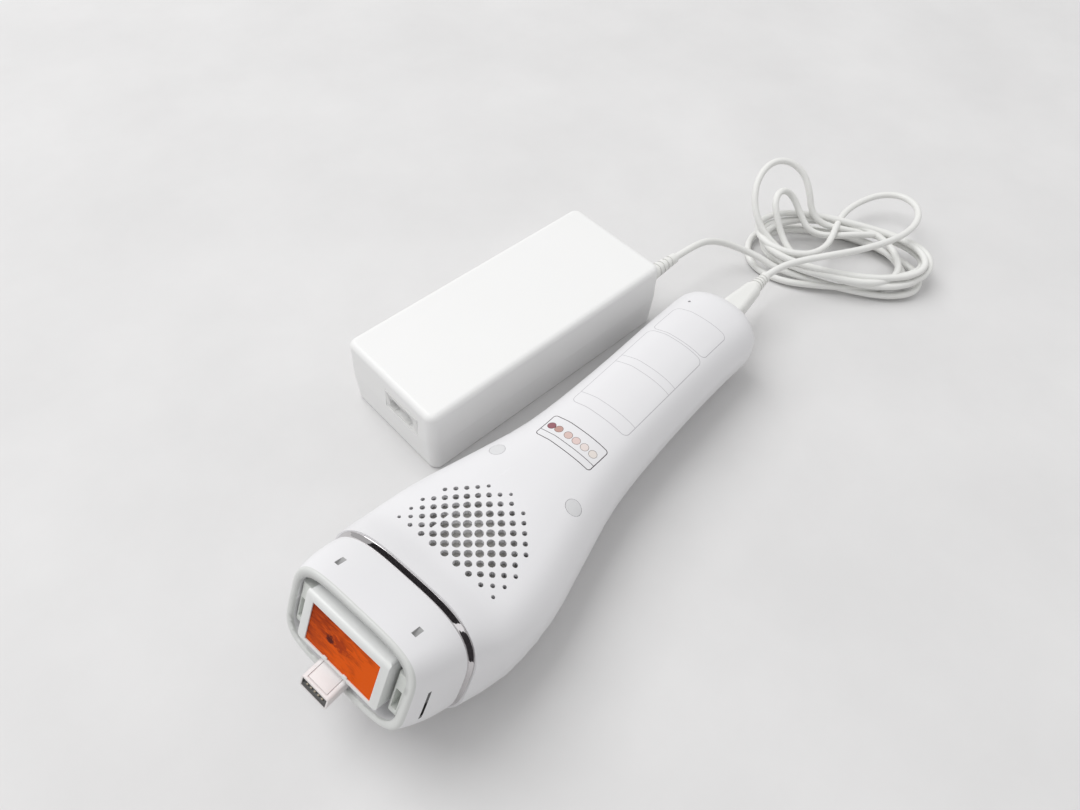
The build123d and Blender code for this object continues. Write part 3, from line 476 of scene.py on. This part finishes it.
# ---------------------------------------------------------------- head shell
# A white moulding in front of the chrome band, with two latch slots on top, a slit in each side
# and a bare, slightly milky rim round the open nose.
nose_lean = math.radians(24.5)
inward = Vector((math.cos(nose_lean), 0, -math.sin(nose_lean)))
nose_height = 45.0
nose_middle = place(0, 0, nose_height)
rim_depth = 0.0010
rim_milky = (0.66, 0.67, 0.655, 1)
# The slot floors and slit walls get painted shade: grey in the slots and near black in the slits.
slot_x, slot_half_x = 16.0, 1.75
slot_y, slot_half_y = 17.8, 1.0
slot_low, slot_high = 57.0, 59.9
slot_painted_shade = (0.38, 0.38, 0.38, 1)
slit_depth, slit_half = 6.6, 0.53
slit_low, slit_high = 34.0, 46.5
slit_inside = 20.0
slit_painted_shadow = (0.05, 0.05, 0.05, 1)
head_white = moulded("white_head", white_shade, 0.36)
depth_in = head_white.along(inward) - nose_middle.dot(inward)
frame_x, frame_y, frame_z = head_white.axes(head_white.places())
head_x = frame_x * 1000.0 - shift.x
head_y = abs(frame_y * 1000.0 - shift.y)
head_z = frame_z * 1000.0
# Masks of the painted shade deep in the slots and slits.
slot_floor_in_shade = (abs(head_x - slot_x) < slot_half_x) * (abs(head_y - slot_y) < slot_half_y)
slot_floor_in_shade = slot_floor_in_shade * (head_z > slot_low) * (head_z < slot_high)
slit_wall_in_shadow = (abs(depth_in * 1000.0 - slit_depth) < slit_half) * (head_y > slit_inside)
slit_wall_in_shadow = slit_wall_in_shadow * (head_z < slit_high) * (head_z > slit_low)
head_shade = head_white.mix(depth_in < rim_depth, head_white.colour(), rim_milky)
head_shade = head_white.mix(slot_floor_in_shade, head_shade, slot_painted_shade)
head_white.shade(Base_Color=head_white.mix(slit_wall_in_shadow, head_shade, slit_painted_shadow))
front_section = (0, nose_height, 28.0, 18.9, 24.5, 4.2)
middle_section = (8.9, 39.8, 31.4, 21.1, 24.75, 3.75)
rear_section = (17.8, 34.6, 33.2, 22.1, 25, 3.3)
nose_rings = 12
nose_sections = []
for step in range(nose_rings + 1):
    t = step / nose_rings
    shares = ((1 - t) * (1 - 2 * t), 4 * t * (1 - t), t * (2 * t - 1))
    nose_sections.append(hoop(*(shares[0] * a + shares[1] * b + shares[2] * c for a, b, c in zip(
        front_section, middle_section, rear_section))))
head_shell = smooth_copy("nose_shell", "head_shell")
even_out(head_shell, skin(nose_sections))
wear(head_shell, head_white.material, "handset", "white_shell", "nose_shell")
nose_turn = Matrix(((0, math.sin(nose_lean), math.cos(nose_lean), nose_middle.x),
                    (1, 0, 0, nose_middle.y),
                    (0, math.cos(nose_lean), -math.sin(nose_lean), nose_middle.z),
                    (0, 0, 0, 1)))

# ---------------------------------------------------------------- window frame
# A thick white block moulded with rounded shoulders that stands out of the nose. Its aperture
# holds the amber glass, and two small tabs on the lower edge keep the glass down.
surround_low = (-19.1, -10.2, -2.0)
surround_high = (19.1, 12.2, 8.0)
tab_half = 0.9


def slab(name, low, high):
    """Cube set between two corners given in millimetres, its place in its mesh."""
    middle = (Vector(low) + Vector(high)) / 2000
    nothing_selected()
    bpy.ops.mesh.primitive_cube_add(size=1, location=middle)
    piece = bpy.context.object
    piece.name = name
    piece.scale = (Vector(high) - Vector(low)) / 1000
    bpy.ops.object.transform_apply(location=True, rotation=True, scale=True)
    return piece


def cut(piece, tool):
    """Take a tool's shape out of a piece and throw the tool away."""
    only(piece)
    hollow = piece.modifiers.new("cut", "BOOLEAN")
    hollow.object = tool
    hollow.solver = "EXACT"
    bpy.ops.object.modifier_apply(modifier="cut")
    bpy.data.objects.remove(tool)


def soften(piece, width, segments=3, angle=40.0):
    """Round every edge sharper than an angle, as a mould leaves them."""
    only(piece)
    edges = piece.modifiers.new("soften", "BEVEL")
    edges.width = width / 1000
    edges.segments = segments
    edges.limit_method = "ANGLE"
    edges.angle_limit = math.radians(angle)
    bpy.ops.object.modifier_apply(modifier="soften")
    bpy.ops.object.shade_smooth_by_angle(angle=math.radians(35))


def round_edge(piece, chosen, width, segments=5):
    """Bevel the edges of a piece whose middles a test picks out, with a wide round."""
    only(piece)
    bpy.ops.object.mode_set(mode="EDIT")
    bpy.ops.mesh.select_all(action="DESELECT")
    bpy.ops.object.mode_set(mode="OBJECT")
    vertices = piece.data.vertices
    for edge in piece.data.edges:
        one, two = edge.vertices
        edge.select = chosen((vertices[one].co + vertices[two].co) * 500)
    bpy.ops.object.mode_set(mode="EDIT")
    bpy.ops.mesh.select_mode(type="EDGE")
    bpy.ops.mesh.bevel(offset=width / 1000, segments=segments, affect="EDGES")
    bpy.ops.object.mode_set(mode="OBJECT")


frame_white = moulded("frame_white", (0.76, 0.77, 0.76), 0.30).material
surround = slab("window_surround", surround_low, surround_high)
# First the long edge along the top of the face, then the four upright corners.
round_edge(surround, lambda m: m.z < -1.9 and m.y > 12.1, width=1.7)
round_edge(surround, lambda m: abs(m.x) > 19.0 and abs(m.y) > 9 and -1 < m.z < 7.9,
           width=1.5, segments=4)
cut(surround, slab("aperture", (-15.7, -8.8, -5.0), (15.7, 8.8, 12.0)))
cut(surround, slab("glass_pocket", (-16.6, -9.7, -1.45), (16.6, 9.7, 12.0)))
cut(surround, slab("tongue_notch", (-5.2, -14.0, -4.0), (8.2, -9.9, 12.0)))
soften(surround, width=0.35)
surround.data.transform(nose_turn)
wear(surround, frame_white, "handset", "white_shell", "window_frame")
for tab_name, tab_across in (("glass_tab", -4.0), ("glass_tab_far", 5.6)):
    tab = slab(tab_name, (tab_across - tab_half, -9.0, -2.0), (tab_across + tab_half, -8.2, -1.5))
    soften(tab, width=0.15, segments=2)
    tab.data.transform(nose_turn)
    wear(tab, frame_white, "handset", "white_shell")

# ---------------------------------------------------------------- pocket latches
# Springy hooks of pale acetal in the pockets beside the window, which catch a clip-on head.
# Each pocket is closed at the back by a block of the same plastic with a groove for the hook.
hook_pale = moulded("hook_acetal", (0.70, 0.72, 0.69), 0.28).material
latches = smooth_copy("pocket_latches", "clip_latches", 25.0)
soften(latches, width=0.2, segments=2)
wear(latches, hook_pale, "handset", "white_shell", "pocket_latches")
block_low = (-2.3, -9.5, 1.6)
block_high = (2.3, 8.5, 7.9)
pocket_middle = 0.0226
for block_name, side in (("pocket_block_near", -1), ("pocket_block_far", 1)):
    block = slab(block_name, block_low, block_high)
    round_edge(block, lambda m: m.z < 1.7 and abs(m.x) > 2.2, width=1.0, segments=4)
    cut(block, slab("pocket_groove", (-1.2, -7.5, -1.0), (1.2, 1.5, 6.5)))
    soften(block, width=0.3)
    block.data.transform(Matrix.Translation((side * pocket_middle, 0, 0)))
    block.data.transform(nose_turn)
    wear(block, hook_pale, "handset", "white_shell")

# ---------------------------------------------------------------- amber glass
# A polished plate of orange filter glass. Its colour holds painted shade cast by the frame and a painted
# reflection of the lamp's mirror behind it, darker towards one corner and in streaks, and one burnt spot.
amber = Finish("amber_filter")
flat = amber.node("ShaderNodeMapping", {"vector_type": "TEXTURE"},
                  {"Vector": amber.places(), "Location": tuple(nose_middle),
                   "Rotation": tuple(nose_turn.to_3x3().to_euler()), "Scale": (0.001, 0.001, 0.001)})
glass_across, glass_up = amber.axes(flat)[:2]
stretched = amber.node("ShaderNodeVectorMath", {"operation": "MULTIPLY"}, {0: flat, 1: (0.10, 0.32, 0.2)})
streak = amber.node("ShaderNodeTexNoise", {}, {"Vector": stretched, "Scale": 1.6, "Detail": 5.0,
                                                "Roughness": 0.62, "Distortion": 0.6})
blotch = amber.node("ShaderNodeTexNoise", {}, {"Vector": flat, "Scale": 0.55, "Detail": 4.0,
                                                "Roughness": 0.6})
clear_amber = (0.74, 0.100, 0.002, 1)
amber_in_painted_shade = (0.30, 0.030, 0.001, 1)
scorched_amber = (0.30, 0.028, 0.003, 1)
burnt_amber = (0.10, 0.012, 0.006, 1)


def smudge(squeeze_across, place_across, squeeze_up, place_up, raggedness):
    """Distance from an oval's middle on the glass, made uneven by the blotches."""
    return ((glass_across * squeeze_across - place_across) ** 2.0
            + (glass_up * squeeze_up - place_up) ** 2.0) ** 0.5 + blotch * raggedness


# Painted shade and reflection: darker towards one corner and in streaks, where the frame shades the glass and
# the mirror behind it shows dark.
shadow_side = (glass_across * 0.030 + glass_up * 0.030 + streak * 2.6 - 1.02).at_least(0.0).at_most(1.0)
burn = (4.0 - smudge(0.8, 4.4, 0.9, 0.2, 4.4)).at_least(0.0).at_most(1.0)
scorch = (5.2 - smudge(0.5, 0.6, 0.9, 1.2, 6.0)).at_least(0.0).at_most(0.7)
warm = amber.mix(shadow_side, clear_amber, amber_in_painted_shade)
warm = amber.mix(scorch, warm, scorched_amber)
warm = amber.mix(burn, warm, burnt_amber)
amber.shade(Base_Color=warm, Roughness=streak * 0.08 + 0.14, Specular_IOR_Level=0.04)
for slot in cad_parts["filter_glass"].material_slots:
    slot.material = amber.material

# ---------------------------------------------------------------- chrome band
# A plated plastic band with a raised bead along each edge, pushed on between head and casing.
# It is polished, so that what it shows is mostly the dark side of the room.
band_front, band_height, band_half_width, band_half_height, band_tilt, band_square = rear_section
band_long = 2.54
band_drop = 1.18
band_swell = 0.8
band_points = 256
flat_half = 1.02
band_inward = Vector((math.cos(math.radians(band_tilt)), 0, -math.sin(math.radians(band_tilt))))
band_middle = place(band_front + band_long / 2, 0, band_height - band_drop / 2)
plating = Finish("plated_band")
off_middle = abs(plating.along(band_inward) - band_middle.dot(band_inward)) * 1000.0
on_edge = off_middle > flat_half
plating.shade(Base_Color=(0.62, 0.60, 0.61, 1), Metallic=1.0,
              Roughness=plating.noise(120.0, 3.0) * 0.03 + on_edge * 0.42 + 0.04)
# Share of the way along the band, and how far it stands proud.
band_profile = [
    (0.0, -1.8), (0.0, -0.25), (0.02, -0.08), (0.06, 0.02), (0.10, 0.03), (0.14, -0.02), (0.18, -0.05),
    (0.40, -0.05), (0.60, -0.05), (0.82, -0.05), (0.86, -0.02), (0.90, 0.03), (0.94, 0.02), (0.98, -0.08),
    (1.0, -0.25), (1.0, -1.8),
]
band_rings = []
for share, proud in band_profile:
    out = band_swell * share + proud
    band_rings.append(hoop(band_front + band_long * share, band_height - band_drop * share,
                           band_half_width + out, band_half_height + out,
                           band_tilt, band_square, band_points))
band_sheet = skin(band_rings + band_rings[:1])
bmesh.ops.remove_doubles(band_sheet, verts=band_sheet.verts, dist=0.000001)
band = piece_from(band_sheet, "plated_band")
only(band)
bpy.ops.object.shade_smooth_by_angle(angle=math.radians(50))
wear(band, plating.material, "handset", "chrome_trim", "chrome_ring")

# ---------------------------------------------------------------- terminal tongue
# The connector that feeds a clip-on head: a stiff white tongue with a square lid on top and a
# dark mouth in its end, where five thinly gold plated springs lie side by side.
tongue_middle = 1.5
end_slope = math.radians(27.0)
end_corner = (-0.0155, tongue_middle / 1000, 0.0308)


def leaning_tool():
    """Block that cuts the tongue's end off at the slope of the nose face."""
    tool = slab("end_slope", (-12.0, -12.0, -12.0), (0.0, 12.0, 12.0))
    tool.data.transform(Matrix.Rotation(end_slope, 4, "Y"))
    tool.data.transform(Matrix.Translation(end_corner))
    return tool


def from_nose(piece):
    """Move a piece modelled from below the nose face to its place in the frame."""
    piece.data.transform(Matrix.Translation(shift / 1000))


tongue_white = moulded("tongue_white", (0.76, 0.72, 0.715), 0.35).material
tongue = slab("connector_tongue", (-15.5, -5.0, 30.7), (6.0, 8.0, 34.9))
round_edge(tongue, lambda m: abs(m.y - tongue_middle) > 6.4 and abs(m.x + 4.75) < 1, width=0.9, segments=4)
cut(tongue, slab("mouth", (-18.0, -4.3, 31.3), (-11.5, 7.3, 34.3)))
cut(tongue, slab("tongue_step", (-0.6, -8.0, 33.3), (9.0, 12.0, 38.0)))
cut(tongue, slab("lid_groove", (-12.6, -3.3, 34.55), (-4.4, 6.3, 36.0)))
cut(tongue, leaning_tool())
soften(tongue, width=0.2)
from_nose(tongue)
wear(tongue, tongue_white, "handset", "white_shell", "terminal_tongue")
lid = slab("tongue_lid", (-12.35, -3.05, 34.3), (-4.65, 6.05, 34.9))
soften(lid, width=0.2)
from_nose(lid)
wear(lid, tongue_white, "handset", "white_shell")
mouth_dark = moulded("mouth_lining", (0.055, 0.052, 0.050), 0.5).material
lining = slab("mouth_lining", (-15.3, -4.28, 31.32), (-11.55, 7.28, 34.28))
cut(lining, slab("mouth_hollow", (-18.0, -3.9, 32.4), (-12.0, 6.9, 34.0)))
cut(lining, leaning_tool())
soften(lining, width=0.08, segments=2)
from_nose(lining)
wear(lining, mouth_dark, "handset", "black_plastic")
plated = Finish("contact_plating")
plated.shade(Base_Color=(0.20, 0.175, 0.14, 1), Metallic=1.0, Roughness=plated.noise(400.0) * 0.15 + 0.36)
contact_pitch = 1.8
contact_half = 0.45
for number in range(1, 6):
    y = tongue_middle + (number - 3) * contact_pitch
    spring = slab("contact_spring_%d" % number, (-14.3, y - contact_half, 32.3),
                  (-12.0, y + contact_half, 32.8))
    soften(spring, width=0.12, segments=2)
    from_nose(spring)
    wear(spring, plated.material, "handset", "brass_contact")
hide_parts("terminal_contacts")

# ---------------------------------------------------------------- mains adapter
# A welded two part case of fine matt white plastic. The inlet in its end is a separate moulding
# with two round lobes, pushed in before the halves are welded.
adapter_white = moulded("adapter_white", (0.85, 0.85, 0.845), 0.50, 0.00003, 1500.0).material


def flat_faced(piece, flat_angle=0.3, sharp_angle=40.0):
    """Let the wide faces rule the shading, so that rounds stay narrow and faces look flat."""
    only(piece)
    bpy.ops.object.mode_set(mode="EDIT")
    bpy.ops.mesh.select_all(action="SELECT")
    bpy.ops.mesh.dissolve_limited(angle_limit=math.radians(flat_angle))
    bpy.ops.object.mode_set(mode="OBJECT")
    bpy.ops.object.shade_smooth_by_angle(angle=math.radians(sharp_angle))
    even = piece.modifiers.new("even", "WEIGHTED_NORMAL")
    even.keep_sharp = True
    even.weight = 100
    bpy.ops.object.modifier_apply(modifier="even")
    return piece


for node, piece_name in (("adapter_top_case", "adapter_lid"), ("adapter_bottom_case", "adapter_base")):
    half_case = flat_faced(smooth_copy(node, piece_name, 40.0))
    wear(half_case, adapter_white, "power_lead", "adapter_shell", node)
inlet_white = moulded("inlet_white", (0.74, 0.74, 0.73), 0.45).material
inlet = smooth_copy("mains_inlet", "inlet_insert", 30.0)
wear(inlet, inlet_white, "power_lead", "inlet_plastic", "mains_inlet")

# ---------------------------------------------------------------- everything inside
# Boards, lamp, fan and power parts keep their CAD shape and take their own finish: plated steel,
# solder mask, enamelled copper, polished aluminium, quartz, ferrite and dark or pale plastics.
steel = Finish("plated_steel")
steel.shade(Base_Color=(0.60, 0.60, 0.61, 1), Metallic=1.0, Roughness=steel.noise(300.0) * 0.2 + 0.22)
board = Finish("solder_mask")
mask_green = board.mix(board.noise(220.0), (0.02, 0.16, 0.07, 1), (0.03, 0.22, 0.10, 1))
board.shade(Base_Color=mask_green, Roughness=0.35)
copper = Finish("copper_wire")
copper.shade(Base_Color=(0.62, 0.27, 0.12, 1), Metallic=1.0, Roughness=copper.noise(500.0) * 0.2 + 0.25)
mirror = Finish("polished_reflector")
mirror.shade(Base_Color=(0.86, 0.86, 0.86, 1), Metallic=1.0, Roughness=mirror.noise(200.0) * 0.05 + 0.08)
quartz = Finish("lamp_quartz")
quartz.shade(Base_Color=(0.85, 0.88, 0.90, 1), Roughness=quartz.noise(100.0) * 0.03 + 0.05,
             Transmission_Weight=0.8)
dark_part = moulded("dark_part", (0.035, 0.035, 0.04), 0.5).material
grey_part = moulded("grey_part", (0.45, 0.45, 0.45), 0.5).material
sleeve = moulded("capacitor_sleeve", (0.03, 0.04, 0.08), 0.3).material
ferrite = moulded("ferrite_core", (0.10, 0.09, 0.08), 0.6).material
key_plastic = moulded("key_plastic", (0.74, 0.74, 0.75), 0.32).material
light_plastic = moulded("light_plastic", (0.68, 0.84, 0.72), 0.2).material
inside_finishes = {
    "reflector": mirror.material, "flash_lamp": quartz.material, "lamp_electrodes": steel.material,
    "lamp_holders": grey_part, "tongue_board": board.material, "case_screws": steel.material,
    "air_duct": grey_part, "fan_frame": dark_part, "fan_rotor": dark_part, "main_board": board.material,
    "flash_capacitor": sleeve, "charge_transformer": ferrite, "board_chips": dark_part, "dc_jack": dark_part,
    "jack_pin": steel.material, "jack_bezel": grey_part, "lamp_leads": dark_part, "flash_button": key_plastic,
    "power_button": key_plastic, "button_board": board.material, "button_switches": dark_part,
    "level_lights": light_plastic, "inlet_pins": steel.material, "adapter_board": board.material,
    "adapter_transformer": ferrite, "adapter_capacitors": sleeve, "heat_sinks": mirror.material,
    "mains_choke": copper.material, "plug_barrel": steel.material,
}
for node, finish in inside_finishes.items():
    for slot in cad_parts[node].material_slots:
        slot.material = finish

# ---------------------------------------------------------------- return springs
# Two coils of spring steel wire, each between a button's flange and the switch board.
for node, press in (("flash_button_spring", "flash_press"), ("power_button_spring", "power_press")):
    coil = wear(smooth_copy(node, node + "_coil", 60.0), steel.material, "handset", "steel", node)
    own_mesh(coil)

# ---------------------------------------------------------------- lead
# One limp round lead, 3.5 mm thick, from the adapter to the plug. It lies in a loose hank of
# long turns behind the tail, with a tall loop and a small loop that stand out of it.
sheath = Finish("lead_sheath")
sheath_shade = sheath.mix(sheath.noise(60.0, 3.0), (0.76, 0.76, 0.74, 1), (0.83, 0.83, 0.81, 1))
sheath.shade(Base_Color=sheath_shade, Roughness=0.5,
             Normal=sheath.bump(sheath.noise(700.0, 2.0), 0.00002, 0.3))
for node in ("dc_plug", "plug_strain_relief", "adapter_strain_relief"):
    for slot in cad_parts[node].material_slots:
        slot.material = sheath.material
lead_radius = 0.00175
adapter_turn = math.radians(-6.2)
adapter_corner = Vector((84.1, 48.5, 26.6))
relief_end = 159.0
relief_across = 6.9
straight_out = 12
adapter_exit = adapter_corner + Vector((
    relief_end * math.cos(adapter_turn) - relief_across * math.sin(adapter_turn),
    relief_end * math.sin(adapter_turn) + relief_across * math.cos(adapter_turn), 0.0))
# Stretches of the route in millimetres, as place() takes them. The last is listed from the plug.
from_adapter = [
    tuple(adapter_exit),
    (adapter_exit.x + straight_out * math.cos(adapter_turn),
     adapter_exit.y + straight_out * math.sin(adapter_turn), 26.2),
    (269.0, 35.5, 23.0), (280.0, 31.0, 17.5), (288.5, 23.5, 12.0), (293.0, 14.5, 9.0),
]
over_tall_loop = [
    (345.0, -12.0, 10.5), (335.0, 2.0, 13.0), (334.5, 9.5, 19.0), (337.0, 14.5, 27.0), (339.5, 21.5, 34.0),
    (337.5, 30.0, 38.5), (330.5, 36.5, 39.5), (320.5, 38.0, 36.5), (311.5, 35.0, 30.5), (305.5, 28.5, 23.0),
    (303.0, 19.5, 16.0), (303.0, 8.0, 11.0), (304.0, -4.0, 9.5),
]
over_small_loop = [
    (342.0, -16.0, 12.0), (332.0, -5.0, 10.5), (326.5, 4.0, 12.0), (328.5, 12.0, 17.5), (330.0, 19.0, 24.0),
    (327.4, 23.5, 28.5), (321.0, 25.3, 30.3), (314.6, 23.5, 28.0), (311.5, 18.5, 22.5), (308.5, 11.0, 14.5),
    (304.5, 1.0, 10.5),
]
across_hank = [
    (298.5, 14.0, 14.5), (300.0, 2.0, 15.0), (306.5, -7.5, 15.5), (318.0, -10.5, 15.5), (332.0, -7.5, 14.0),
]
to_plug = [
    (271.65, 0, 19.5), (280.65, -1.5, 20.1), (291.0, -7.5, 21.4), (303.0, -16.5, 22.6), (317.0, -26.0, 22.8),
    (333.0, -34.0, 22.4), (350.0, -38.8, 21.2), (367.0, -38.6, 19.4), (381.5, -32.5, 17.2), (388.0, -21.5, 15.0),
    (383.0, -11.0, 13.2), (372.0, -5.0, 11.6), (359.5, -2.5, 11.2), (347.0, -3.5, 12.0),
]
hank_x, hank_y = 325.0, -13.0
points_per_turn = 15
hank_square = 2.4
hank_ripple = 1.1
lying_height = 1.85


def wind(start, end, turns):
    """Points of loose turns about the hank. Each turn has half sizes, a shift, a lean and a height."""
    points = []
    count = round((end - start) / 360 * points_per_turn)
    for step in range(count + 1):
        share = step / count * (len(turns) - 1)
        low = min(int(share), len(turns) - 2)
        length, width, along, across, lean, height = (
            a + (b - a) * (share - low) for a, b in zip(turns[low], turns[low + 1]))
        angle = math.radians(start + (end - start) * step / count)
        reach = (abs(math.cos(angle)) ** hank_square
                 + abs(math.sin(angle)) ** hank_square) ** (-1 / hank_square)
        u = along + length * reach * math.cos(angle)
        v = across + width * reach * math.sin(angle)
        tilt = math.radians(lean)
        points.append((hank_x + u * math.cos(tilt) - v * math.sin(tilt),
                       hank_y + u * math.sin(tilt) + v * math.cos(tilt),
                       max(height + hank_ripple * math.sin(2 * angle + share * 2), lying_height)))
    return points


lower_turns = wind(-125, 780, [
    (50, 21, 1, 0, -61, 5.0), (45, 25, 1, 0, -74, 2.4), (47, 23, 1, 1, -50, 3.0), (34, 22, 0, -3, -66, 5.5),
    (42, 20, 2, 3, -54, 8.0), (47, 22, 2, 0, -62, 9.5)])
middle_turn = wind(-95, 55, [(45.5, 21, 3, 0, -66, 9.0), (50, 21, 2, 0, -58, 11.5)])
upper_turns = wind(-95, 900, [
    (46, 21, 3, -1, -71, 9.5), (46, 21, 2, 3, -53, 11.0), (34, 21, 2, -3, -66, 10.0), (33, 20, -3, 4, -50, 12.0),
    (47, 23, 0, 0, -64, 13.0), (44, 21, 1, 0, -62, 14.5)])
route = (from_adapter + lower_turns + over_tall_loop + middle_turn + over_small_loop + upper_turns
         + across_hank + to_plug[::-1])
lead_data = bpy.data.curves.new("lead", "CURVE")
lead_data.dimensions = "3D"
lead_data.bevel_depth = lead_radius
lead_data.bevel_resolution = 5
lead_data.use_fill_caps = True
spline = lead_data.splines.new("NURBS")
spline.points.add(len(route) - 1)
for point, spot in zip(spline.points, route):
    point.co = [*place(*spot), 1.0]
spline.order_u = 3
spline.use_endpoint_u = True
spline.resolution_u = 6
lead = bpy.data.objects.new("lead", lead_data)
bpy.context.scene.collection.objects.link(lead)
lead.data.materials.append(sheath.material)
line = lead.copy()
line.data = lead_data.copy()
line.data.bevel_depth = 0
bpy.context.scene.collection.objects.link(line)
bpy.context.view_layer.update()
plain_line = bpy.data.meshes.new_from_object(line.evaluated_get(bpy.context.evaluated_depsgraph_get()))
bpy.data.objects.remove(line)
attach(lead, "power_lead")
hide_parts("cord_from_adapter", "cord_tall_loop", "cord_small_loop", "cord_hank", "cord_to_plug")
